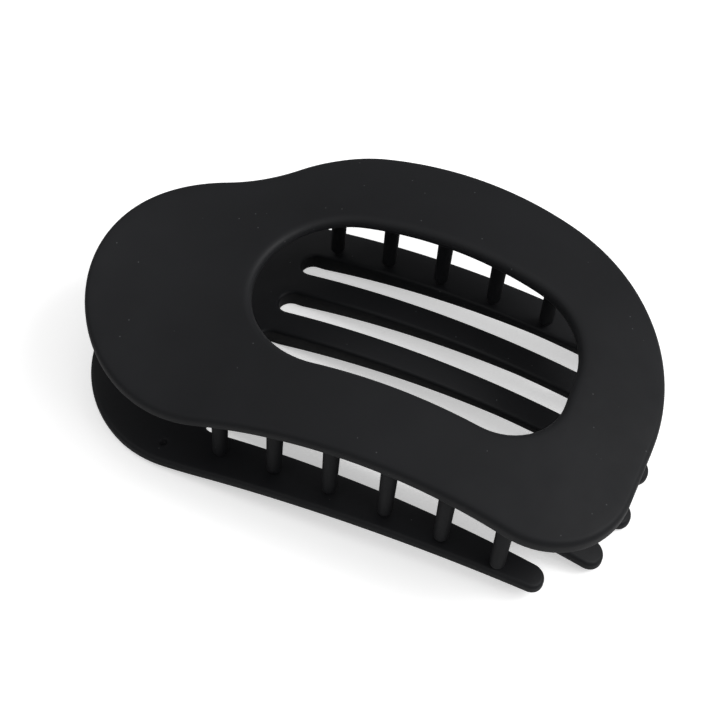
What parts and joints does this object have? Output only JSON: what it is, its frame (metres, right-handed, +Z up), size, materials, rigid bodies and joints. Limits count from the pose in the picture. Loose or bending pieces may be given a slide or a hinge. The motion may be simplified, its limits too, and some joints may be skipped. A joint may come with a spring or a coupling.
{
  "type": "claw clip",
  "caption": "Flat curved hair claw clip with a domed, windowed top jaw, rows of short posts and a slotted, fingered lower jaw on a sprung hinge.",
  "frame": {"origin": "centre of the footprint, on the surface the closed clip lies on", "axes": "+X runs from the thumb pads to the open front, +Z is up out of the domed top jaw, and +Y is the side on which the outline bulges"},
  "size_m": [0.1088, 0.073, 0.029],
  "materials": {
    "soft_black": "soft-touch matte",
    "spring_steel": "drawn wire"
  },
  "bodies": {
    "lower": {"lower_jaw": "soft_black", "hinge_pin": "spring_steel", "torsion_spring": "spring_steel"},
    "upper": {"upper_jaw": "soft_black"}
  },
  "joints": [
    {"name": "jaw_hinge", "type": "hinge", "parent": "lower", "child": "upper", "pos_m": [-0.035, -0.005, 0.0126], "axis": [0, -1, 0], "range_deg": [0, 45], "stiffness_Nm_per_rad": 0.12, "springref_deg": -57.3, "deforming": ["torsion_spring"]}
  ]
}
